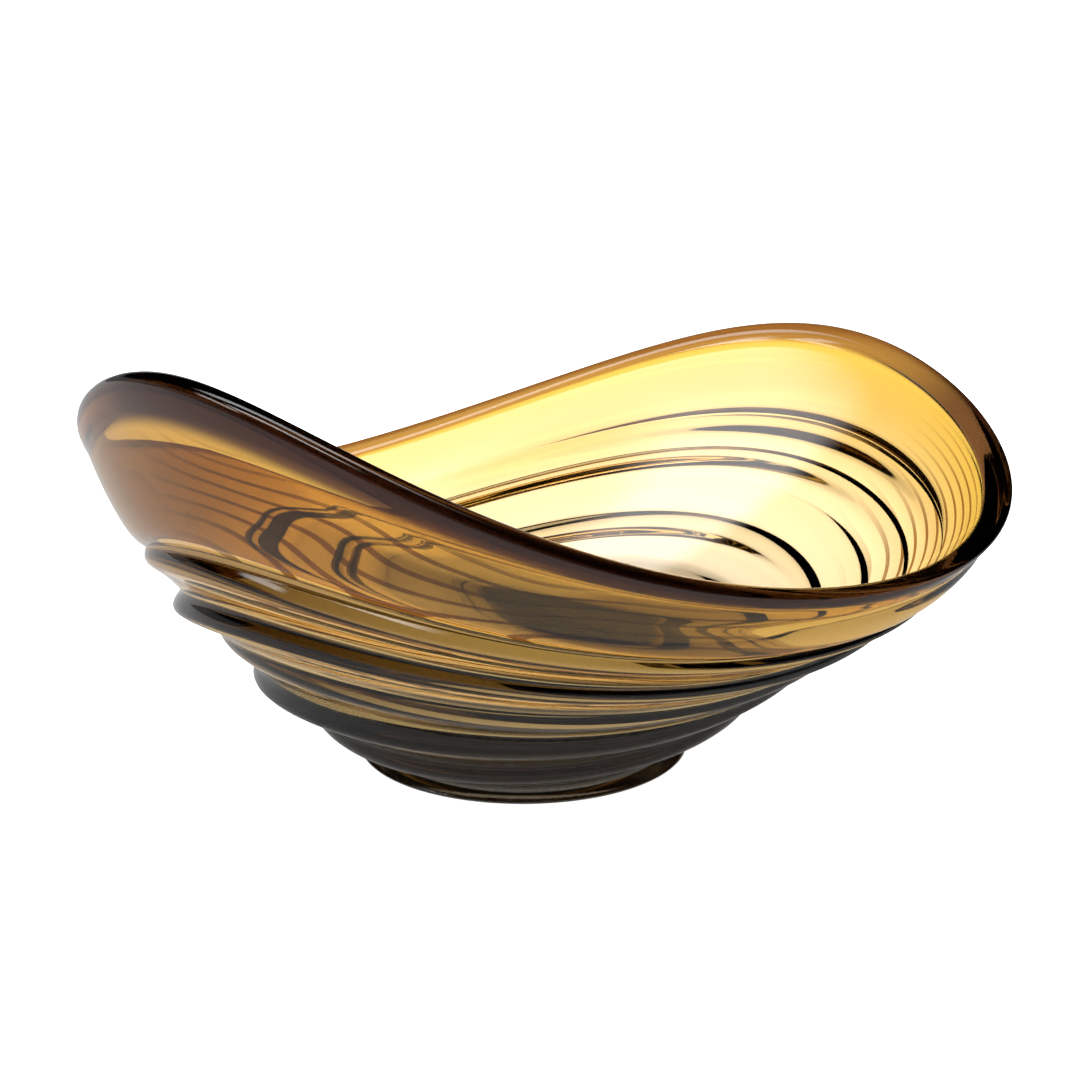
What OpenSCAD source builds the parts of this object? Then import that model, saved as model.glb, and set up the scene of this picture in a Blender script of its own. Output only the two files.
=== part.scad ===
// Heavy free-standing art glass bowl with a waved oval rim, stepped ledges round
// its outside, a smooth inside and a round smoke-grey foot.
// The long axis of the rim lies along X and the foot stands on z = 0, centred on the origin.
// A point of the wall is named by its turn (0 to 360 degrees round the bowl, from +X)
// and its level (0 at the top of the foot, 1 at the top of the rim).

/* [Foot] */
// Radius of the foot where the wall rises from it
foot_radius = 62.5; // [55:0.5:70]
// Height of the foot
foot_height = 6.5; // [5:0.5:9]
// How far the side of the foot bulges
foot_bulge = 4.5; // [1:0.5:6]

/* [Rim outline] */
// Half the length of the rim
rim_half_length = 200; // [180:1:220]
// Half the width of the rim
rim_half_width = 150; // [135:1:165]
// Distance of the rim's middle from the middle of the foot, along X
rim_shift_x = 11.6; // [0:0.1:15]
// Distance of the rim's middle from the middle of the foot, along Y
rim_shift_y = -1.2; // [-6:0.1:6]
// How much the ends of the oval are blunted
rim_blunt_x = 8.3; // [0:0.1:12]
// How much the sides of the oval are flattened
rim_blunt_y = 6; // [0:0.1:10]

/* [Rim height] */
// Mean height of the rim
rim_height = 135; // [120:0.5:150]
// Rise and fall of the rim about its mean height, twice round the bowl
rim_wave = 36; // [25:0.5:42]
// Turn of the first high point of that wave
wave_turn = 22; // [0:1:45]
// Further turn of the wave at the foot
wave_twist = 1; // [-5:0.5:15]
// How fast the wave dies away towards the foot
wave_fade = 1.75; // [1.3:0.05:2]
// Lift of the end at turn 180 over the end at turn 0, as an amplitude
lean_x = -19.5; // [-24:0.5:0]
// Lift of the side at turn 270 over the side at turn 90, as an amplitude
lean_y = -8; // [-15:0.5:0]
// Small third wave of the rim, along X and along Y
third_wave = -2.5; // [-4:0.5:0]

/* [Wall] */
// Fullness of the wall at mid height, along X
full_x = 0.35; // [0.2:0.01:0.5]
// How late up the wall that fullness comes, along X, as a power
late_x = 0.9; // [0.5:0.1:1.5]
// Fullness of the wall at mid height, along Y
full_y = 0.25; // [0.1:0.01:0.4]
// How late up the wall that fullness comes, along Y, as a power
late_y = 1.1; // [0.5:0.1:1.5]
// Sideways drift of the wall at mid height, along X
drift_x = 1.5; // [0:0.1:4]
// Sideways drift of the wall at mid height, along Y
drift_y = -8.5; // [-10:0.1:0]
// Tilt of the ledges at mid height along X, as an amplitude
tilt_x = 12.3; // [5:0.1:15]
// Tilt of the ledges at mid height along Y, as an amplitude
tilt_y = 8; // [0:0.1:12]
// Glass thickness just below the rim
rim_wall = 7.5; // [6:0.5:9]
// Extra glass thickness at the foot
foot_wall = 7; // [4:0.5:9]
// Thickness of the floor above the top of the foot
floor_lift = 18; // [14:0.5:22]

/* [Ledges] */
// Level of the highest notch, where the upper wall starts
notch_top = 0.735; // [0.72:0.005:0.75]
// How the ledges crowd towards the rim, as a power, where 1 spaces them evenly
notch_crowd = 0.8; // [0.75:0.05:1]
// Depth of a ledge, as a share of its width
ledge_depth = 0.16; // [0.1:0.01:0.22]
// Place of the fullest point of a ledge, as a power of its width
ledge_lead = 2.4; // [1.5:0.1:3]
// How much the ledges are drawn together at the back, as a share of their spacing
back_squeeze = 1.5; // [0:0.1:1.8]
// Depth of the step under the upper wall
brow_depth = 6; // [3:0.25:7]
// Depth of the fine grooves
groove_depth = 1.6; // [0.5:0.1:2]

/* [Rim roll] */
// Level where the rolled rim starts
roll_level = 0.93; // [0.92:0.01:0.96]
// How far the roll stands proud, as a share of its half width
roll_proud = 0.7; // [0.1:0.05:0.8]

/* [Hidden] */
turn_steps = 72;
turn_step = 360 / turn_steps;
ledge_steps = 7;
brow_steps = 5;
inside_steps = 10;
roll_steps = 10;
ledge_count = 5;
// Levels of the notches between the ledges, from the foot up
notches = [for (k = [0:ledge_count]) notch_top * pow(k / ledge_count, notch_crowd)];
// Level that the ledges are drawn towards, and the turn where they are closest
squeeze_level = 0.47;
squeeze_turn = 64;
// Share of the depth that each ledge, and last the upper wall's step, has at the front
front = [0.8, 0.9, 0.6, 1.3, 1.7, 1];
// Share of the depth that each of them has at the back
back = [0.5, 2.6, 0.2, 2.8, 0.1, 0.1];
// Turn that counts as the back for them, and how narrowly the back is taken, as a power
back_turn = 110;
back_power = 3;
last = ledge_count;
// Slope of the ledges' bulge below the horizontal, at the foot and at the rim
bulge_slope_foot = 50;
bulge_slope_rim = 15;
// Grooves: level, width in levels, turn where deepest
grooves = [[0.885, 0.03, 350], [0.32, 0.018, 30]];
// How fast the upper wall swells above its lowest edge, as a share of its height
brow_rise = 0.09;
// Steps up the side of the foot and round it, and how high its fullest point lies, as a power
foot_side_steps = 10;
foot_sides = 144;
foot_power = 0.7;
// How flat the floor is and how late it meets the wall, as powers of the level
floor_power = 6;
floor_lift_power = 7;
// How square the section of the rolled rim is, as a power
roll_power = 0.7;
// How far the rings crowd towards the floor inside, and towards the step outside, as powers
inside_crowd = 1.4;
brow_crowd = 1.5;

function mix(a, b, k) = a + (b - a) * k;

// Share of the way from the foot's outline to the rim's outline
function fill(s, full, late) = s + full * s * (1 - s) * pow(2 * s, late);

// Height of the wall before its ledges are formed
function wall_z(t, s) =
    let (
        middle = 4 * s * (1 - s),
        crest = wave_turn + wave_twist * (1 - s),
        wave = rim_wave * cos(2 * (t - crest)),
        third = third_wave * (cos(3 * t) + sin(3 * t)),
        lean = lean_x * cos(t) + lean_y * sin(t)
    )
    foot_height + (rim_height - foot_height) * s
        + pow(s, wave_fade) * (wave + third + lean)
        + middle * (tilt_x * cos(t) + tilt_y * sin(t));

// Point of the wall before its ledges are formed
function wall_point(t, s) =
    let (
        middle = 4 * s * (1 - s),
        half_x = mix(foot_radius, rim_half_length, fill(s, full_x, late_x)),
        half_y = mix(foot_radius, rim_half_width, fill(s, full_y, late_y)),
        x = half_x * cos(t) - s * s * rim_blunt_x * cos(3 * t) + s * rim_shift_x,
        y = half_y * sin(t) + s * s * rim_blunt_y * sin(3 * t) + s * rim_shift_y
    )
    [x + middle * drift_x, y + middle * drift_y, wall_z(t, s)];

// Direction in which a ledge bulges: outwards and down
function bulge_way(t, s) =
    let (slope = mix(bulge_slope_foot, bulge_slope_rim, s))
    [cos(t) * cos(slope), sin(t) * cos(slope), -sin(slope)];

// Strength of ledge k at turn t
function strength(t, k) = mix(front[k], back[k], pow(0.5 + 0.5 * cos(t - back_turn), back_power));

// Level of notch k at turn t
function notch(t, k) =
    let (
        level = notches[k],
        near = 0.5 + 0.5 * cos(t - squeeze_turn)
    )
    level + back_squeeze * near * level * (1 - level) * (squeeze_level - level);

// Depth of a fine groove
function groove_cut(t, s, g) =
    let (away = (s - g[0]) / g[1])
    groove_depth * exp(-away * away) * (0.5 + 0.5 * cos(t - g[2]));

function all_grooves(t, s) = s > 0 ? groove_cut(t, s, grooves[0]) + groove_cut(t, s, grooves[1]) : 0;

// Point of the wall moved out by a bulge, less its grooves
function bulged_point(t, s, bulge) = wall_point(t, s) + (bulge - all_grooves(t, s)) * bulge_way(t, s);

// Point of ledge k, where u goes from 0 at its lower notch to 1 at its upper notch
function ledge_point(t, k, u) =
    let (
        low = notch(t, k),
        high = notch(t, k + 1),
        chord = norm(wall_point(t, high) - wall_point(t, low)),
        bulge = ledge_depth * chord * strength(t, k) * sin(180 * pow(u, ledge_lead))
    )
    bulged_point(t, mix(low, high, u), bulge);

// Point of the upper wall, fullest just above its lowest edge
function brow_point(t, s) =
    let (
        u = (s - notch(t, last)) / (1 - notch(t, last)),
        bulge = brow_depth * strength(t, last) * (1 - u) * (1 - exp(-u / brow_rise))
    )
    bulged_point(t, s, bulge);

// Point of the smooth inside
function inside_point(t, s) =
    let (
        p = wall_point(t, s),
        reach = norm([p[0], p[1]]),
        thick = mix(foot_wall, 0, s) + rim_wall,
        open = (1 - pow(1 - s, floor_power)) * (1 - thick / reach),
        lift = floor_lift * pow(1 - s, floor_lift_power)
    )
    [p[0] * open, p[1] * open, p[2] + lift];

function ledge_ring(k, u) = [for (i = [0:turn_steps - 1]) ledge_point(i * turn_step, k, u)];
function brow_ring(u) = [
    for (i = [0:turn_steps - 1])
        let (t = i * turn_step)
        brow_point(t, mix(notch(t, last), roll_level, u))
];
function inside_ring(s) = [for (i = [0:turn_steps - 1]) inside_point(i * turn_step, s)];

// Point of the rolled rim: a goes from 0 at the outside edge to 180 at the inside edge
function roll_point(t, a) =
    let (
        out_low = brow_point(t, roll_level),
        in_low = inside_point(t, roll_level),
        out_top = brow_point(t, 1),
        in_top = inside_point(t, 1),
        half = (out_low - in_low) / 2,
        low = (out_low + in_low) / 2,
        top = (out_top + in_top) / 2,
        side = sign(cos(a)) * pow(abs(cos(a)), roll_power) * (1 + roll_proud * sin(a))
    )
    low + (top - low) * sin(a) + half * side;

// Levels of the rings on the inside, from the roll to the floor
inside_levels = [
    for (j = [0:inside_steps - 1])
        roll_level * pow(1 - j / inside_steps, inside_crowd)
];

// Closed solid from stacked rings of points, with the first and the last ring filled
module closed_rings(rings) {
    count = len(rings);
    points = [for (r = rings) each r];
    sides = [
        for (j = [0:count - 2])
            for (i = [0:turn_steps - 1])
                let (
                    a = j * turn_steps + i,
                    b = j * turn_steps + (i + 1) % turn_steps,
                    c = b + turn_steps,
                    d = a + turn_steps
                )
                each [[a, d, c], [a, c, b]]
    ];
    first_cap = [for (i = [0:turn_steps - 1]) i];
    last_cap = [for (i = [turn_steps - 1:-1:0]) (count - 1) * turn_steps + i];
    polyhedron(points = points, faces = concat(sides, [first_cap, last_cap]), convexity = 10);
}

// Closed band from rings of points, with the last ring joined to the first
module closed_band(rings) {
    count = len(rings);
    points = [for (r = rings) each r];
    sides = [
        for (j = [0:count - 1])
            for (i = [0:turn_steps - 1])
                let (
                    next = (j + 1) % count,
                    right = (i + 1) % turn_steps,
                    a = j * turn_steps + i,
                    b = j * turn_steps + right,
                    c = next * turn_steps + right,
                    d = next * turn_steps + i
                )
                each [[a, d, c], [a, c, b]]
    ];
    polyhedron(points = points, faces = sides, convexity = 10);
}

// Round standing foot, a true solid of revolution with a flat underside
module foot() {
    side = [
        for (j = [0:foot_side_steps])
            let (a = j / foot_side_steps)
            [foot_radius + foot_bulge * (2 * sin(180 * pow(a, foot_power)) - 1 + a), a * foot_height]
    ];
    color("dimgray")
        rotate_extrude($fn = foot_sides)
            polygon(concat([[0, 0]], side, [[0, foot_height]]));
}

// Stepped amber wall with its floor
module bowl_wall() {
    ledge_rings = [for (k = [0:last - 1]) for (j = [0:ledge_steps - 1]) ledge_ring(k, j / ledge_steps)];
    brow_rings = [for (j = [0:brow_steps]) brow_ring(pow(j / brow_steps, brow_crowd))];
    inside_rings = [for (s = inside_levels) inside_ring(s)];
    color("goldenrod")
        closed_rings(concat(ledge_rings, brow_rings, inside_rings));
}

// Rolled lip along the top of the wall
module rim_roll() {
    rings = [
        for (j = [0:roll_steps])
            [for (i = [0:turn_steps - 1]) roll_point(i * turn_step, 180 * j / roll_steps)]
    ];
    color("saddlebrown")
        closed_band(rings);
}

foot();
bowl_wall();
rim_roll();
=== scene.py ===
import logging
import math
from dataclasses import dataclass, field
from enum import Enum
from typing import Any, Union

import bpy
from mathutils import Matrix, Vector


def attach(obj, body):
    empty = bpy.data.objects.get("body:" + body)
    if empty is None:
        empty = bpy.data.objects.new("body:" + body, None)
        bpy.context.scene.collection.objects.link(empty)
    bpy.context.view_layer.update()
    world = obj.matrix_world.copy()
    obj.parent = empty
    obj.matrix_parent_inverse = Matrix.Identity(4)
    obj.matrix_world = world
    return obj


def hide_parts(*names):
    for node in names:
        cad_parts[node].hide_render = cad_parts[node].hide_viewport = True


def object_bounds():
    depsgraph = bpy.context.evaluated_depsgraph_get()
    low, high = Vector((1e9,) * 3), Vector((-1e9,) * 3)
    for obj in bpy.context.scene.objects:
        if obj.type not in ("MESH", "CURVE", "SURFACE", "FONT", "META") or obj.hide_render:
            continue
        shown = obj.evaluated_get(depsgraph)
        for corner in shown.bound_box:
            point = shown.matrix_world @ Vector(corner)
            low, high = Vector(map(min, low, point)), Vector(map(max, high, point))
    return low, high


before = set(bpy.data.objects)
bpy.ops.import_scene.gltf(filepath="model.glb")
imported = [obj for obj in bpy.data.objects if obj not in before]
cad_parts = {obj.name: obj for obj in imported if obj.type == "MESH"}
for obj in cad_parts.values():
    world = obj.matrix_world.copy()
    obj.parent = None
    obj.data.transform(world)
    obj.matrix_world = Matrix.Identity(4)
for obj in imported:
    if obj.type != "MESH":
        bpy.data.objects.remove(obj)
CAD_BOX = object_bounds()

log = logging.getLogger("glass_bowl")

MM = 0.001
FULL_TURN = 2 * math.pi


# ----------------------------------------------------------------------------------------------
# Node trees written as expressions
# ----------------------------------------------------------------------------------------------


class Value:
    """A socket that carries a number, usable in Python arithmetic.

    Args:
        sheet: The node sheet that new Math nodes are added to.
        socket: The output socket that is wrapped.
    """

    def __init__(self, sheet: "NodeSheet", socket: bpy.types.NodeSocket) -> None:
        """Wrap a socket."""
        self.sheet = sheet
        self.socket = socket

    def __add__(self, other: "Number") -> "Value":
        """Return self + other."""
        return self.sheet.math("ADD", self, other)

    def __radd__(self, other: "Number") -> "Value":
        """Return other + self."""
        return self.sheet.math("ADD", other, self)

    def __sub__(self, other: "Number") -> "Value":
        """Return self - other."""
        return self.sheet.math("SUBTRACT", self, other)

    def __rsub__(self, other: "Number") -> "Value":
        """Return other - self."""
        return self.sheet.math("SUBTRACT", other, self)

    def __mul__(self, other: "Number") -> "Value":
        """Return self * other."""
        return self.sheet.math("MULTIPLY", self, other)

    def __rmul__(self, other: "Number") -> "Value":
        """Return other * self."""
        return self.sheet.math("MULTIPLY", other, self)

    def __truediv__(self, other: "Number") -> "Value":
        """Return self / other."""
        return self.sheet.math("DIVIDE", self, other)

    def __rtruediv__(self, other: "Number") -> "Value":
        """Return other / self."""
        return self.sheet.math("DIVIDE", other, self)

    def __pow__(self, other: "Number") -> "Value":
        """Return self to the power of other."""
        return self.sheet.math("POWER", self, other)

    def __neg__(self) -> "Value":
        """Return -self."""
        return self.sheet.math("MULTIPLY", self, -1.0)


Number = Union[Value, float, int]
Point = tuple[Number, Number, Number]


class NodeSheet:
    """A node tree with short ways to add nodes, for geometry, material and world trees.

    Args:
        tree: The node tree that the nodes go into.
    """

    def __init__(self, tree: bpy.types.NodeTree) -> None:
        """Start a sheet on a node tree."""
        self.tree = tree

    def node(self, kind: str, settings: dict[str, Any] | None = None,
             sockets: dict[Union[str, int], Any] | None = None) -> bpy.types.Node:
        """Add one node, with its settings made before its sockets are filled.

        Args:
            kind: The node's type name.
            settings: Node properties by name.
            sockets: Values or links by the input socket's name or number.

        Returns:
            The new node.
        """
        made = self.tree.nodes.new(kind)
        for name, value in (settings or {}).items():
            setattr(made, name, value)
        for key, value in (sockets or {}).items():
            self.fill(made.inputs[key], value)
        return made

    def fill(self, socket: bpy.types.NodeSocket, value: Any) -> None:
        """Link a socket to another socket, or set its own value.

        Args:
            socket: The input socket.
            value: A Value, an output socket, or a plain value.
        """
        if isinstance(value, Value):
            value = value.socket
        if isinstance(value, bpy.types.NodeSocket):
            self.tree.links.new(value, socket)
        else:
            socket.default_value = value

    def math(self, operation: str, *values: Number) -> Value:
        """Add a Math node.

        Args:
            operation: The node's operation.
            values: Its one to three inputs.

        Returns:
            The result.
        """
        made = self.node("ShaderNodeMath", {"operation": operation}, dict(enumerate(values)))
        return Value(self, made.outputs[0])

    def sin(self, angle: Number) -> Value:
        """Return the sine of an angle in radians."""
        return self.math("SINE", angle)

    def cos(self, angle: Number) -> Value:
        """Return the cosine of an angle in radians."""
        return self.math("COSINE", angle)

    def clamp(self, value: Number) -> Value:
        """Return a value held between 0 and 1."""
        return self.math("MINIMUM", self.math("MAXIMUM", value, 0.0), 1.0)

    def smooth(self, value: Number, low: float, high: float) -> Value:
        """Return a smooth step of a value, from 0 at low to 1 at high."""
        made = self.node("ShaderNodeMapRange", {"interpolation_type": "SMOOTHSTEP"},
                         {"Value": value, "From Min": low, "From Max": high})
        return Value(self, made.outputs[0])

    def mix(self, low: Number, high: Number, share: Number) -> Number:
        """Return the value at a share of the way from low to high."""
        return low + (high - low) * share

    def vector(self, point: Point) -> bpy.types.NodeSocket:
        """Return a vector socket made from three numbers."""
        return self.node("ShaderNodeCombineXYZ", sockets=dict(enumerate(point))).outputs[0]

    def distance(self, a: Point, b: Point) -> Value:
        """Return the distance between two points."""
        made = self.node("ShaderNodeVectorMath", {"operation": "DISTANCE"},
                         {0: self.vector(a), 1: self.vector(b)})
        return Value(self, made.outputs["Value"])

    def dot(self, way: bpy.types.NodeSocket, axis: Vector) -> Value:
        """Return how far a direction reaches along an axis."""
        made = self.node("ShaderNodeVectorMath", {"operation": "DOT_PRODUCT"}, {0: way, 1: axis})
        return Value(self, made.outputs["Value"])

    def mix_colour(self, share: Number, low: Any, high: Any) -> bpy.types.NodeSocket:
        """Return the colour at a share of the way from low to high."""
        made = self.node("ShaderNodeMix", {"data_type": "RGBA"}, {0: share, 6: low, 7: high})
        return made.outputs[2]


# ----------------------------------------------------------------------------------------------
# The bowl's shape
# ----------------------------------------------------------------------------------------------


class Zone(Enum):
    """The stretches of the closed section, in order from the underside's centre to the floor's."""

    UNDERSIDE = "underside"
    FOOT_SIDE = "foot side"
    LEDGES = "ledges"
    BROW = "brow"
    ROLL = "roll"
    INSIDE = "inside"


@dataclass(frozen=True)
class BowlSizes:
    """Driving dimensions of the bowl, in millimetres, degrees and shares.

    The names of the fields are also the names of the geometry tree's inputs.
    """

    foot_radius: float = 62.5
    foot_height: float = 6.5
    foot_bulge: float = 4.5
    rim_half_length: float = 200.0
    rim_half_width: float = 150.0
    rim_shift_x: float = 11.6
    rim_shift_y: float = -1.2
    rim_blunt_x: float = 8.3
    rim_blunt_y: float = 6.0
    rim_height: float = 135.0
    rim_wave: float = 36.0
    wave_turn: float = 22.0
    wave_twist: float = 1.0
    wave_fade: float = 1.75
    lean_x: float = -19.5
    lean_y: float = -8.0
    third_wave: float = -2.5
    full_x: float = 0.35
    late_x: float = 0.9
    full_y: float = 0.25
    late_y: float = 1.1
    drift_x: float = 1.5
    drift_y: float = -8.5
    tilt_x: float = 12.3
    tilt_y: float = 8.0
    rim_wall: float = 7.5
    foot_wall: float = 7.0
    floor_lift: float = 18.0
    ledge_depth: float = 0.16
    ledge_lead: float = 2.4
    back_squeeze: float = 1.5
    brow_depth: float = 6.0
    groove_depth: float = 1.6
    roll_level: float = 0.93
    roll_proud: float = 0.7


@dataclass(frozen=True)
class Ledge:
    """One rounded ledge of the outside.

    Attributes:
        low: Level of the notch below it.
        high: Level of the notch above it.
        front: Share of the depth that it has at the front.
        back: Share of the depth that it has at the back.
    """

    low: float
    high: float
    front: float
    back: float


@dataclass(frozen=True)
class Groove:
    """A fine groove on one side of the outside.

    Attributes:
        level: Level of its middle.
        width: Width in levels.
        turn: Turn where it is deepest, in degrees.
    """

    level: float
    width: float
    turn: float


NOTCH_TOP = 0.735
NOTCH_CROWD = 0.8
LEDGE_STRENGTHS = ((0.8, 0.5), (0.9, 2.6), (0.6, 0.2), (1.3, 2.8), (1.7, 0.1))


def notch_level(number: int) -> float:
    """Return the level of a notch, counted from the foot up."""
    return NOTCH_TOP * (number / len(LEDGE_STRENGTHS)) ** NOTCH_CROWD


LEDGES = tuple(
    Ledge(notch_level(number), notch_level(number + 1), front, back)
    for number, (front, back) in enumerate(LEDGE_STRENGTHS)
)
BROW = Ledge(NOTCH_TOP, 1.0, 1.0, 0.1)
BACK_TURN = math.radians(110)
SQUEEZE_LEVEL = 0.47
SQUEEZE_TURN = math.radians(64)
GROOVES = (Groove(0.885, 0.03, 350), Groove(0.32, 0.018, 30))
BULGE_SLOPE_FOOT = math.radians(50)
BULGE_SLOPE_RIM = math.radians(15)
BROW_RISE = 0.09
BACK_POWER = 3
FOOT_POWER = 0.7
FLOOR_POWER = 6
FLOOR_LIFT_POWER = 7
ROLL_POWER = 0.7
BROW_CROWD = 1.5
INSIDE_CROWD = 1.3
MERGE_DISTANCE = 1e-5
ROWS = {
    Zone.UNDERSIDE: 4,
    Zone.FOOT_SIDE: 10,
    Zone.LEDGES: 90,
    Zone.BROW: 30,
    Zone.ROLL: 18,
    Zone.INSIDE: 42,
}
TURN_STEPS = 440


class BowlTree:
    """The geometry tree that makes the bowl's closed surface from its driving dimensions.

    Args:
        sizes: The driving dimensions, which become the tree's named inputs.
        material: The glass that the tree sets.
    """

    def __init__(self, sizes: BowlSizes, material: bpy.types.Material) -> None:
        self.sizes = sizes
        self.tree = bpy.data.node_groups.new("bowl from its dimensions", "GeometryNodeTree")
        self.sheet = NodeSheet(self.tree)
        self.inputs: dict[str, Value] = {}
        self._declare()
        self._assemble(material)

    def _declare(self) -> None:
        face = self.tree.interface
        for name, value in vars(self.sizes).items():
            socket = face.new_socket(name, in_out="INPUT", socket_type="NodeSocketFloat")
            socket.default_value = value
        face.new_socket("Geometry", in_out="OUTPUT", socket_type="NodeSocketGeometry")
        source = self.sheet.node("NodeGroupInput")
        for name in vars(self.sizes):
            self.inputs[name] = Value(self.sheet, source.outputs[name])

    def __getattr__(self, name: str) -> Value:
        """Return the tree's input of that name."""
        inputs = self.__dict__.get("inputs", {})
        if name in inputs:
            return inputs[name]
        raise AttributeError(name)

    def wall_point(self, turn: Value, level: Number) -> Point:
        """Return the wall's point before its ledges are formed.

        Args:
            turn: Angle round the bowl, in radians.
            level: 0 at the top of the foot, 1 at the top of the rim.

        Returns:
            The point's three coordinates, in millimetres.
        """
        sheet = self.sheet
        degree = math.radians(1)
        middle = 4 * level * (1 - level)
        share_x = level + self.full_x * level * (1 - level) * (2 * level) ** self.late_x
        share_y = level + self.full_y * level * (1 - level) * (2 * level) ** self.late_y
        half_x = sheet.mix(self.foot_radius, self.rim_half_length, share_x)
        half_y = sheet.mix(self.foot_radius, self.rim_half_width, share_y)
        square = level * level
        x = (half_x * sheet.cos(turn) - square * self.rim_blunt_x * sheet.cos(3 * turn)
             + level * self.rim_shift_x + middle * self.drift_x)
        y = (half_y * sheet.sin(turn) + square * self.rim_blunt_y * sheet.sin(3 * turn)
             + level * self.rim_shift_y + middle * self.drift_y)
        crest = (self.wave_turn + self.wave_twist * (1 - level)) * degree
        wave = self.rim_wave * sheet.cos(2 * (turn - crest))
        third = self.third_wave * (sheet.cos(3 * turn) + sheet.sin(3 * turn))
        lean = self.lean_x * sheet.cos(turn) + self.lean_y * sheet.sin(turn)
        z = (self.foot_height + (self.rim_height - self.foot_height) * level
             + level ** self.wave_fade * (wave + third + lean)
             + middle * (self.tilt_x * sheet.cos(turn) + self.tilt_y * sheet.sin(turn)))
        return x, y, z

    def bulged(self, turn: Value, level: Number, bulge: Number) -> Point:
        """Return the wall's point moved outwards and down by a bulge.

        Args:
            turn: Angle round the bowl, in radians.
            level: Level of the point.
            bulge: How far it moves, in millimetres.

        Returns:
            The moved point.
        """
        sheet = self.sheet
        x, y, z = self.wall_point(turn, level)
        slope = sheet.mix(BULGE_SLOPE_FOOT, BULGE_SLOPE_RIM, level)
        out = bulge * sheet.cos(slope)
        return x + out * sheet.cos(turn), y + out * sheet.sin(turn), z - bulge * sheet.sin(slope)

    def grooves(self, turn: Value, level: Number) -> Value:
        """Return how deep the fine grooves cut at a point."""
        sheet = self.sheet
        total: Number = 0.0
        for groove in GROOVES:
            away = (level - groove.level) / groove.width
            side = 0.5 + 0.5 * sheet.cos(turn - math.radians(groove.turn))
            total = total + self.groove_depth * sheet.math("EXPONENT", 0 - away * away) * side
        return total

    def notch(self, turn: Value, level: float) -> Value:
        """Return the level of a notch, which is drawn towards the others at the back."""
        back = 0.5 + 0.5 * self.sheet.cos(turn - SQUEEZE_TURN)
        return level + self.back_squeeze * back * (level * (1 - level) * (SQUEEZE_LEVEL - level))

    def strength(self, turn: Value, ledge: Ledge) -> Value:
        """Return the share of its depth that a ledge has at a turn."""
        behind = (0.5 + 0.5 * self.sheet.cos(turn - BACK_TURN)) ** BACK_POWER
        return self.sheet.mix(ledge.front, ledge.back, behind)

    def ledge_point(self, turn: Value, share: Value) -> Point:
        """Return a point on the stepped outside.

        Args:
            turn: Angle round the bowl, in radians.
            share: 0 at the lowest notch, 1 at the highest, with the same share for each ledge.

        Returns:
            The point.
        """
        sheet = self.sheet
        along = share * len(LEDGES)
        number = sheet.math("MINIMUM", sheet.math("FLOOR", along), len(LEDGES) - 1.0)
        u = along - number
        low: Number = 0.0
        high: Number = 0.0
        strength: Number = 0.0
        for index, ledge in enumerate(LEDGES):
            here = sheet.math("MAXIMUM", 1 - sheet.math("ABSOLUTE", number - index), 0.0)
            low = low + here * self.notch(turn, ledge.low)
            high = high + here * self.notch(turn, ledge.high)
            strength = strength + here * self.strength(turn, ledge)
        level = sheet.mix(low, high, u)
        chord = sheet.distance(self.wall_point(turn, low), self.wall_point(turn, high))
        crown = sheet.sin(math.pi * u ** self.ledge_lead)
        bulge = self.ledge_depth * chord * strength * crown - self.grooves(turn, level)
        return self.bulged(turn, level, bulge)

    def brow_point(self, turn: Value, level: Number) -> Point:
        """Return a point on the upper wall, between the highest notch and the rim's top."""
        lowest = self.notch(turn, BROW.low)
        u = (level - lowest) / (1 - lowest)
        rise = 1 - self.sheet.math("EXPONENT", u * (-1 / BROW_RISE))
        bulge = self.brow_depth * self.strength(turn, BROW) * (1 - u) * rise
        return self.bulged(turn, level, bulge - self.grooves(turn, level))

    def inside_point(self, turn: Value, level: Number) -> Point:
        """Return a point on the smooth inside."""
        sheet = self.sheet
        x, y, z = self.wall_point(turn, level)
        reach = sheet.distance((x, y, 0.0), (0.0, 0.0, 0.0))
        thick = self.foot_wall * (1 - level) + self.rim_wall
        away = sheet.math("MAXIMUM", 1 - level, 0.0)
        share = (1 - away ** FLOOR_POWER) * (1 - thick / reach)
        return x * share, y * share, z + self.floor_lift * away ** FLOOR_LIFT_POWER

    def roll_point(self, turn: Value, share: Value) -> Point:
        """Return a point on the rolled rim, from its outside edge to its inside edge."""
        sheet = self.sheet
        angle = share * math.pi
        low_out = self.brow_point(turn, self.roll_level)
        low_in = self.inside_point(turn, self.roll_level)
        rim_top = sheet.math("ADD", 1.0, 0.0)
        top_out = self.brow_point(turn, rim_top)
        top_in = self.inside_point(turn, rim_top)
        lift = sheet.sin(angle)
        lean = sheet.cos(angle)
        side = (sheet.math("SIGN", lean) * sheet.math("ABSOLUTE", lean) ** ROLL_POWER
                * (1 + self.roll_proud * lift))
        found = []
        for a, b, c, d in zip(low_out, low_in, top_out, top_in):
            low = (a + b) * 0.5
            top = (c + d) * 0.5
            found.append(low + (top - low) * lift + (a - b) * 0.5 * side)
        return tuple(found)

    def foot_point(self, turn: Value, share: Value) -> Point:
        """Return a point on the foot's side, from its underside to its top."""
        sheet = self.sheet
        swell = 2 * sheet.sin(math.pi * share ** FOOT_POWER) - 1 + share
        radius = self.foot_radius + self.foot_bulge * swell
        return radius * sheet.cos(turn), radius * sheet.sin(turn), share * self.foot_height

    def underside_point(self, turn: Value, share: Value) -> Point:
        """Return a point on the flat underside, from its centre to its edge."""
        radius = (self.foot_radius - self.foot_bulge) * share
        return radius * self.sheet.cos(turn), radius * self.sheet.sin(turn), 0.0 * share

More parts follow.
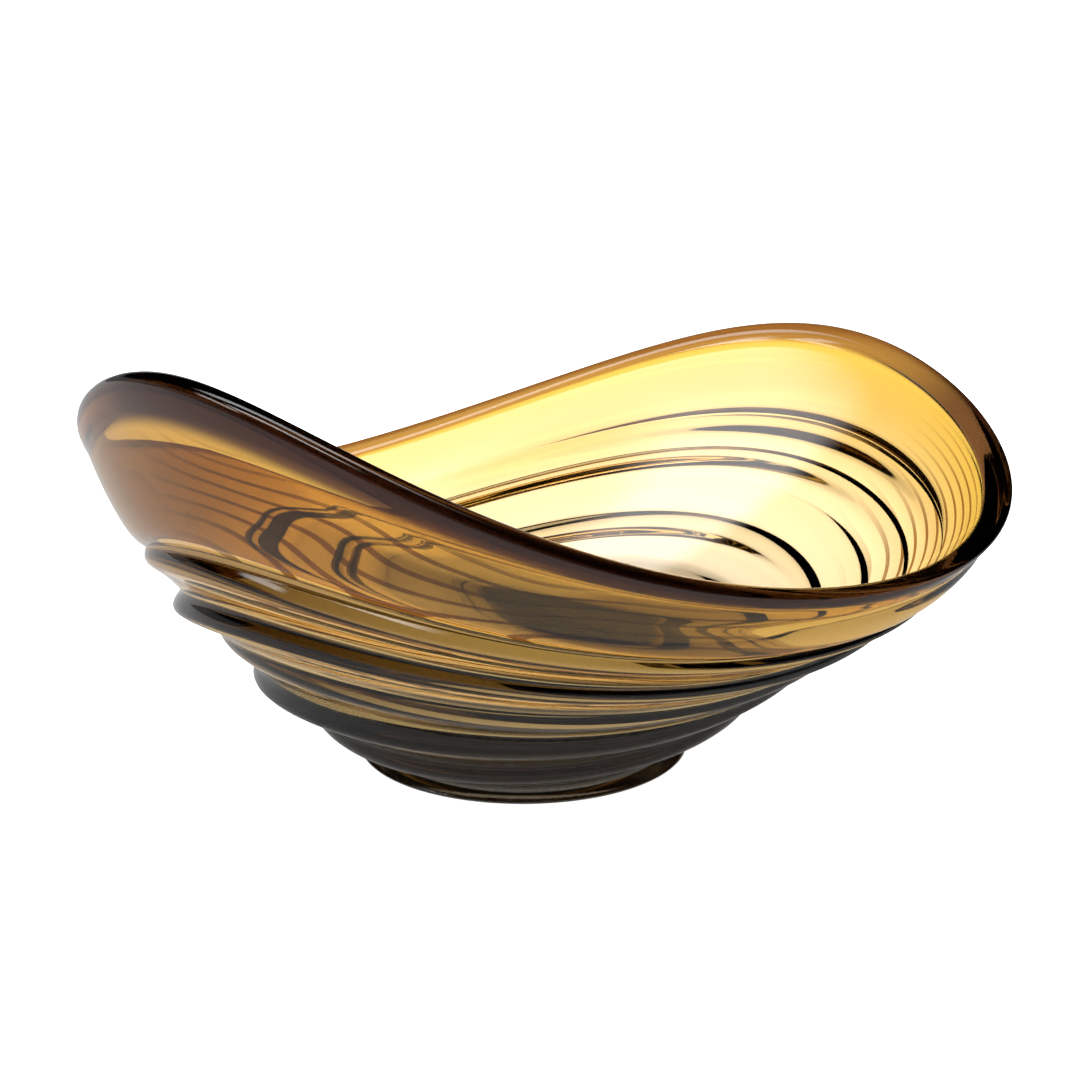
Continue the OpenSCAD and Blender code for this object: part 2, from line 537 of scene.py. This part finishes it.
    def zone(self, zone: Zone) -> bpy.types.NodeSocket:
        """Return the geometry of one zone, with its level and its inside share stored.

        Args:
            zone: The zone.

        Returns:
            The zone's mesh socket.
        """
        sheet = self.sheet
        grid = sheet.node("GeometryNodeMeshGrid", sockets={
            "Size X": 1.0, "Size Y": 1.0,
            "Vertices X": TURN_STEPS + 1, "Vertices Y": ROWS[zone] + 1})
        place = sheet.node("ShaderNodeSeparateXYZ",
                           sockets={0: sheet.node("GeometryNodeInputPosition").outputs[0]})
        turn = (Value(sheet, place.outputs[0]) + 0.5) * FULL_TURN
        share = sheet.clamp(Value(sheet, place.outputs[1]) + 0.5)
        level: Number = 0.0
        inner: Number = 0.0
        if zone is Zone.UNDERSIDE:
            point = self.underside_point(turn, share)
        elif zone is Zone.FOOT_SIDE:
            point = self.foot_point(turn, share)
        elif zone is Zone.LEDGES:
            point = self.ledge_point(turn, share)
            level = share * LEDGES[-1].high
        elif zone is Zone.BROW:
            level = sheet.mix(self.notch(turn, BROW.low), self.roll_level, share ** BROW_CROWD)
            point = self.brow_point(turn, level)
        elif zone is Zone.ROLL:
            point = self.roll_point(turn, share)
            level = sheet.mix(self.roll_level, 1.0, sheet.sin(share * math.pi))
            inner = share
        else:
            level = self.roll_level * (1 - share) ** INSIDE_CROWD
            point = self.inside_point(turn, level)
            inner = 1.0
        geometry = grid.outputs["Mesh"]
        for name, value in (("level", level), ("inner", inner)):
            stored = sheet.node("GeometryNodeStoreNamedAttribute",
                                {"data_type": "FLOAT", "domain": "POINT"},
                                {"Geometry": geometry, "Name": name, "Value": value})
            geometry = stored.outputs[0]
        scaled = sheet.vector(tuple(c * MM for c in point))
        moved = sheet.node("GeometryNodeSetPosition",
                           sockets={"Geometry": geometry, "Position": scaled})
        return moved.outputs[0]

    def _assemble(self, material: bpy.types.Material) -> None:
        """Join the zones into one closed surface and give it its glass."""
        sheet = self.sheet
        joined = sheet.node("GeometryNodeJoinGeometry")
        for zone in Zone:
            self.tree.links.new(self.zone(zone), joined.inputs[0])
        merged = sheet.node("GeometryNodeMergeByDistance",
                            sockets={"Geometry": joined.outputs[0], "Distance": MERGE_DISTANCE})
        smooth = sheet.node("GeometryNodeSetShadeSmooth", sockets={"Geometry": merged.outputs[0]})
        real = sheet.node("GeometryNodeRealizeInstances", sockets={"Geometry": smooth.outputs[0]})
        dressed = sheet.node("GeometryNodeSetMaterial",
                             sockets={"Geometry": real.outputs[0], "Material": material})
        sheet.node("NodeGroupOutput", sockets={"Geometry": dressed.outputs[0]})


# ----------------------------------------------------------------------------------------------
# Finishes
# ----------------------------------------------------------------------------------------------

Colour = tuple[float, float, float, float]


def new_material(name: str) -> tuple[bpy.types.Material, NodeSheet]:
    """Return a new empty node material and its sheet.

    Args:
        name: The material's name.

    Returns:
        The material and the sheet of its tree.
    """
    material = bpy.data.materials.new(name)
    material.use_nodes = True
    material.node_tree.nodes.clear()
    return material, NodeSheet(material.node_tree)


@dataclass(frozen=True)
class AmberGlass:
    """Heavy glass: smoky brown through and through, with an amber layer on its inside.

    The front of the amber layer holds painted dark lines, drawn out along the ledges, that stand in for
    the swirls that refraction draws (painted shade), and the rim carries painted shade: dark brown,
    near-black at the front, for the darkness of its long path through the glass.

    Attributes:
        refraction: The glass's index of refraction.
        body: Colour that the thickness of the glass lets through.
        density: Strength of that colour, per metre.
        rim_tint: Tint of the amber layer near the rim.
        wall_tint: Tint of the amber layer half way down.
        floor_tint: Tint of the amber layer on the floor.
        outer_rim_tint: Tint of the outside near the rim.
        outer_tint: Tint of the outside below that.
        foot_tint: Tint of the foot.
        end_painted_shade_tint: Painted shade on the outside near the rim at its high end, a dark brown.
        painted_line_tint: Tint of the painted dark lines that stand in for refraction swirls (painted
            shade).
        roll_tint: Painted shade of the rolled rim, a dark brown for the darkness of its long path through
            the glass.
        front_roll_tint: Deeper painted shade of the rolled rim at the front, near-black.
        streaks: Number of painted lines from the floor to the rim.
        wander: How far the painted lines wander, as a number of lines.
        painted_line_grain: How fine their wandering is along X, Y and Z, per metre.
        ripple_grain: How fine the surface's faint ripple is, per metre.
        ripple_strength: Strength of that ripple.
        ripple_depth: Its depth, in metres.
    """

    refraction: float = 1.52
    body: Colour = (0.5, 0.38, 0.12, 1)
    density: float = 58.0
    rim_tint: Colour = (0.74, 0.45, 0.06, 1)
    wall_tint: Colour = (0.85, 0.6, 0.3, 1)
    floor_tint: Colour = (0.97, 0.95, 0.92, 1)
    outer_rim_tint: Colour = (0.62, 0.42, 0.1, 1)
    outer_tint: Colour = (0.95, 0.84, 0.55, 1)
    foot_tint: Colour = (0.96, 0.96, 0.97, 1)
    end_painted_shade_tint: Colour = (0.28, 0.16, 0.04, 1)
    painted_line_tint: Colour = (0.12, 0.035, 0.004, 1)
    roll_tint: Colour = (0.22, 0.09, 0.02, 1)
    front_roll_tint: Colour = (0.03, 0.009, 0.005, 1)
    streaks: float = 30.0
    wander: float = 8.0
    painted_line_grain: tuple[float, float, float] = (7.0, 7.0, 16.0)
    ripple_grain: float = 18.0
    ripple_strength: float = 0.1
    ripple_depth: float = 0.002

    def make(self) -> bpy.types.Material:
        """Return the glass as a material."""
        material, sheet = new_material("amber glass")
        level = Value(sheet, sheet.node("ShaderNodeAttribute",
                                        {"attribute_name": "level"}).outputs["Fac"])
        inner = Value(sheet, sheet.node("ShaderNodeAttribute",
                                        {"attribute_name": "inner"}).outputs["Fac"])
        coords = sheet.node("ShaderNodeTexCoord").outputs["Object"]
        place = sheet.node("ShaderNodeSeparateXYZ", sockets={0: coords})
        forward = 0 - Value(sheet, place.outputs[1])
        # Painted shade: the outside near the rim turns dark brown towards its high end.
        high_end_painted_shade = sheet.smooth(0 - Value(sheet, place.outputs[0]), 0.05, 0.17)
        low = sheet.mix_colour(sheet.smooth(level, 0.1, 0.6), self.floor_tint, self.wall_tint)
        amber = sheet.mix_colour(sheet.smooth(level, 0.55, 0.95), low, self.rim_tint)
        # Painted shade: dark lines on the front of the amber layer stand in for the swirls that refraction
        # draws.
        amber_with_painted_lines = sheet.mix_colour(self.painted_line_share(sheet, coords, level, forward),
                                    amber, self.painted_line_tint)
        stepped = sheet.mix_colour(sheet.smooth(level, 0.02, 0.3), self.foot_tint, self.outer_tint)
        upper = sheet.mix_colour(high_end_painted_shade, self.outer_rim_tint, self.end_painted_shade_tint)
        outer = sheet.mix_colour(sheet.smooth(level, 0.4, 0.8), stepped, upper)
        wall = sheet.mix_colour(inner, outer, amber_with_painted_lines)
        # Painted shade: the rolled rim is dark brown, and near-black at the front, for the darkness of its
        # long path through the glass.
        rolled = sheet.mix_colour(sheet.smooth(forward, -0.05, 0.03), self.roll_tint, self.front_roll_tint)
        tint = sheet.mix_colour(sheet.smooth(level, 0.92, 0.95), wall, rolled)
        cloud = sheet.node("ShaderNodeTexNoise", sockets={
            "Vector": coords, "Scale": self.ripple_grain, "Detail": 2.0, "Roughness": 0.4})
        ripple = sheet.node("ShaderNodeBump", sockets={
            "Strength": self.ripple_strength, "Distance": self.ripple_depth,
            "Height": cloud.outputs[0]})
        glass = sheet.node("ShaderNodeBsdfPrincipled", sockets={
            "Base Color": tint, "Roughness": 0.0, "IOR": self.refraction,
            "Transmission Weight": 1.0, "Normal": ripple.outputs[0]})
        depth = sheet.node("ShaderNodeVolumeAbsorption",
                           sockets={"Color": self.body, "Density": self.density})
        sheet.node("ShaderNodeOutputMaterial",
                   sockets={"Surface": glass.outputs[0], "Volume": depth.outputs[0]})
        return material

    def painted_line_share(self, sheet: NodeSheet, coords: bpy.types.NodeSocket, level: Value,
                     forward: Value) -> Value:
        """Return how much of a painted dark line, standing in for refraction swirls, there is at a point.

        Args:
            sheet: The material's sheet.
            coords: The point.
            level: Its level.
            forward: How far forward of the middle it is, in metres.

        Returns:
            The share, from 0 to 1.
        """
        drawn = sheet.node("ShaderNodeVectorMath", {"operation": "MULTIPLY"},
                           {0: coords, 1: self.painted_line_grain})
        drift = sheet.node("ShaderNodeTexNoise", sockets={
            "Vector": drawn.outputs[0], "Scale": 1.0, "Detail": 1.0, "Roughness": 0.3})
        # Painted shade: dark lines in place of refraction swirls, kept to the front of the bowl.
        phase = (level * self.streaks + Value(sheet, drift.outputs[0]) * self.wander) * FULL_TURN
        line = sheet.smooth(sheet.cos(phase), 0.6, 0.8)
        height = sheet.smooth(level, 0.45, 0.62) * (1 - sheet.smooth(level, 0.88, 0.94))
        return line * height * sheet.smooth(forward, 0.0, 0.07)


@dataclass(frozen=True)
class TableFinish:
    """The plain pale surface under the bowl, which glows softly, with a painted shadow under the foot and
    painted shade that fades out from it.

    Attributes:
        colour: Its colour.
        glow: How bright it is away from the bowl.
        painted_shade_near_glow: How bright it is beside the foot, dimmed by painted shade.
        painted_shadow_glow: How bright the painted shadow under the foot is.
        foot_edge: Radius inside which the shadow under the foot is painted, in metres.
        painted_shadow_fade: Width over which that painted shadow fades, in metres.
        painted_shade_outer_radius: Radius from which it has its full glow, past the painted shade, in
            metres.
        gloss_share: Share of its glow that shows in glossy reflections.
    """

    colour: Colour = (0.25, 0.25, 0.25, 1)
    glow: float = 2.0
    painted_shade_near_glow: float = 1.0
    painted_shadow_glow: float = 0.16
    foot_edge: float = 0.063
    painted_shadow_fade: float = 0.005
    painted_shade_outer_radius: float = 0.24
    gloss_share: float = 0.22

    def make(self) -> bpy.types.Material:
        """Return the surface as a material."""
        material, sheet = new_material("pale table")
        place = sheet.node("ShaderNodeTexCoord").outputs["Object"]
        radius = Value(sheet, sheet.node("ShaderNodeVectorMath", {"operation": "LENGTH"},
                                         {0: place}).outputs["Value"])
        # Painted shadow: the glow drops to a dark disc under the foot and is dimmer near the bowl, as
        # though the bowl shaded the table.
        glow_with_painted_shade = sheet.mix(self.painted_shade_near_glow, self.glow,
                              sheet.smooth(radius, self.foot_edge, self.painted_shade_outer_radius))
        edge = sheet.smooth(radius, self.foot_edge - self.painted_shadow_fade, self.foot_edge)
        glow = sheet.mix(self.painted_shadow_glow, glow_with_painted_shade, edge) * gloss_dimmer(sheet, self.gloss_share)
        matt = sheet.node("ShaderNodeBsdfPrincipled", sockets={
            "Base Color": self.colour, "Roughness": 0.9, "Specular IOR Level": 0.1,
            "Emission Color": glow, "Emission Strength": 1.0})
        sheet.node("ShaderNodeOutputMaterial", sockets={"Surface": matt.outputs[0]})
        return material


def gloss_dimmer(sheet: NodeSheet, share: float) -> Value:
    """Return a factor that dims what shows in reflections, as a polarising filter does.

    Args:
        sheet: The sheet that the nodes go into.
        share: The factor for a reflection. It is 1 for anything else.

    Returns:
        The factor.
    """
    path = sheet.node("ShaderNodeLightPath")
    glossy = Value(sheet, path.outputs["Is Glossy Ray"])
    through = Value(sheet, path.outputs["Is Transmission Ray"])
    return 1 - glossy * (1 - through) * (1 - share)


# ----------------------------------------------------------------------------------------------
# The bowl as a piece
# ----------------------------------------------------------------------------------------------


@dataclass
class GlassBowl:
    """The whole bowl, one closed piece of glass.

    Attributes:
        sizes: Its driving dimensions.
        finish: Its glass.
    """

    sizes: BowlSizes = field(default_factory=BowlSizes)
    finish: AmberGlass = field(default_factory=AmberGlass)

    def build(self) -> bpy.types.Object:
        """Make the bowl's mesh with its geometry tree and fix it to the frame.

        Returns:
            The finished piece.
        """
        material = self.finish.make()
        group = BowlTree(self.sizes, material)
        seed = bpy.data.objects.new("seed", bpy.data.meshes.new("seed"))
        seed.data.materials.append(material)
        bpy.context.scene.collection.objects.link(seed)
        modifier = seed.modifiers.new("bowl", "NODES")
        modifier.node_group = group.tree
        for item in group.tree.interface.items_tree:
            if item.in_out == "INPUT":
                modifier[item.identifier] = getattr(self.sizes, item.name)
        bpy.context.view_layer.update()
        shown = seed.evaluated_get(bpy.context.evaluated_depsgraph_get())
        mesh = bpy.data.meshes.new_from_object(shown)
        bpy.data.objects.remove(seed)
        mesh.name = "glass_bowl"
        piece = bpy.data.objects.new("glass_bowl", mesh)
        bpy.context.scene.collection.objects.link(piece)
        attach(piece, "root")
        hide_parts("foot", "bowl_wall", "rim_roll")
        return piece


# ----------------------------------------------------------------------------------------------
# Table, light and camera
# ----------------------------------------------------------------------------------------------


@dataclass(frozen=True)
class SoftBox:
    """A soft-edged rectangle of light, far away.

    Attributes:
        turn: Its direction round the bowl, in degrees from the camera, to the right.
        rise: Its height above the table, in degrees.
        width: Half its width, as a share of its distance.
        height: Half its height, as a share of its distance.
        glow: Its brightness.
        edge: Share of its half sizes over which its edges fade.
    """

    turn: float
    rise: float
    width: float
    height: float
    glow: float
    edge: float = 0.5

    def glow_along(self, sheet: NodeSheet, way: bpy.types.NodeSocket, view_turn: float) -> Value:
        """Return the box's brightness in a direction.

        Args:
            sheet: The world's sheet.
            way: The direction.
            view_turn: The camera's own turn, in degrees.

        Returns:
            The brightness, 0 outside the box.
        """
        around = math.radians(self.turn - view_turn - 90)
        up = math.radians(self.rise)
        ahead = Vector((math.cos(up) * math.cos(around), math.cos(up) * math.sin(around), math.sin(up)))
        side = Vector((-math.sin(around), math.cos(around), 0))
        top = ahead.cross(side)
        reach = sheet.dot(way, ahead)
        glow: Number = self.glow * sheet.smooth(reach, 0.0, 0.1)
        safe = sheet.math("MAXIMUM", reach, 0.01)
        for axis, half in ((side, self.width), (top, self.height)):
            off = sheet.math("ABSOLUTE", sheet.dot(way, axis) / safe) / half
            glow = glow * (1 - sheet.smooth(off, 1 - self.edge, 1.0))
        return glow


@dataclass
class Studio:
    """A pale table, a soft studio and the camera.

    Attributes:
        table_half: Half the width of the table, in metres.
        view_turn: How far round the bowl the camera stands, in degrees from the -Y side.
        view_rise: How far above the table it looks from, in degrees.
        view_distance: Distance from the bowl, in metres.
        lens: Focal length, in millimetres.
        aim_height: Height of the point that the camera's distance is measured from, in metres.
        aim_right: How far right of the bowl's axis the camera aims, in metres.
        aim_up: How far above that point the camera aims, in metres.
        horizon_glow: Brightness of the pale band round the horizon.
        dark_glow: Brightness of the dark above it.
        band_gloss: Share of the band's brightness that shows in glossy reflections.
        band_top: Height at which the band begins to fade, as the sine of its rise.
        dark_from: Height at which it has faded.
        boxes: The soft boxes.
    """

    table_half: float = 8.0
    view_turn: float = 25.7
    view_rise: float = 19.0
    view_distance: float = 1.412
    lens: float = 112.8
    aim_height: float = 0.0626
    aim_right: float = 0.0071
    aim_up: float = 0.0279
    horizon_glow: float = 2.0
    dark_glow: float = 0.03
    band_gloss: float = 0.12
    band_top: float = 0.11
    dark_from: float = 0.17
    boxes: tuple[SoftBox, ...] = (
        SoftBox(turn=180, rise=80, width=0.9, height=0.25, glow=5.0),
        SoftBox(turn=-20, rise=52, width=0.7, height=0.14, glow=7.0),
        SoftBox(turn=-70, rise=30, width=0.3, height=0.12, glow=5.0),
    )

    def build(self) -> None:
        """Make everything that isn't the bowl."""
        self._table()
        self._world()
        self._camera()

    def _table(self) -> None:
        """Lay the table under the bowl."""
        level = CAD_BOX[0][2]
        half = self.table_half
        mesh = bpy.data.meshes.new("table")
        corners = [(-half, -half, level), (half, -half, level), (half, half, level), (-half, half, level)]
        mesh.from_pydata(corners, [], [(0, 1, 2, 3)])
        mesh.materials.append(TableFinish().make())
        table = bpy.data.objects.new("table", mesh)
        bpy.context.scene.collection.objects.link(table)

    def _world(self) -> None:
        """Light the studio: pale round the horizon, dark above, with soft boxes in the dark."""
        world = bpy.data.worlds.new("studio")
        world.use_nodes = True
        world.node_tree.nodes.clear()
        sheet = NodeSheet(world.node_tree)
        way = sheet.node("ShaderNodeTexCoord").outputs["Generated"]
        height = Value(sheet, sheet.node("ShaderNodeSeparateXYZ", sockets={0: way}).outputs[2])
        glow = sheet.mix(self.horizon_glow, self.dark_glow,
                         sheet.smooth(height, self.band_top, self.dark_from))
        glow = glow * gloss_dimmer(sheet, self.band_gloss)
        for box in self.boxes:
            glow = glow + box.glow_along(sheet, way, self.view_turn)
        back = sheet.node("ShaderNodeBackground", sockets={"Color": (1, 1, 1, 1), "Strength": glow})
        sheet.node("ShaderNodeOutputWorld", sockets={"Surface": back.outputs[0]})
        bpy.context.scene.world = world

    def _camera(self) -> None:
        """Stand the camera and aim it."""
        camera = bpy.data.cameras.new("camera")
        camera.lens = self.lens
        camera.sensor_width = 36.0
        camera.clip_end = 50.0
        stand = bpy.data.objects.new("camera", camera)
        turn = math.radians(self.view_turn)
        rise = math.radians(self.view_rise)
        ahead = Vector((math.sin(turn) * math.cos(rise), math.cos(turn) * math.cos(rise), -math.sin(rise)))
        right = Vector((math.cos(turn), -math.sin(turn), 0))
        up = right.cross(ahead)
        centre = Vector((0, 0, self.aim_height))
        stand.location = centre - ahead * self.view_distance
        target = centre + right * self.aim_right + up * self.aim_up
        stand.rotation_euler = (target - stand.location).to_track_quat("-Z", "Y").to_euler()
        bpy.context.scene.collection.objects.link(stand)
        bpy.context.scene.camera = stand


def set_look() -> None:
    """Choose the plain view transform and let light pass through many glass surfaces."""
    scene = bpy.context.scene
    scene.view_settings.view_transform = "Standard"
    scene.cycles.max_bounces = 24
    scene.cycles.transmission_bounces = 24
    scene.cycles.glossy_bounces = 12
    scene.cycles.caustics_reflective = True
    scene.cycles.caustics_refractive = True


def main() -> None:
    """Build the bowl and its studio, in order."""
    logging.basicConfig(level=logging.INFO, format="%(name)s: %(message)s")
    set_look()
    Studio().build()
    log.info("studio ready")
    bowl = GlassBowl().build()
    log.info("%s: %d faces", bowl.name, len(bowl.data.polygons))


if __name__ == "__main__":
    main()
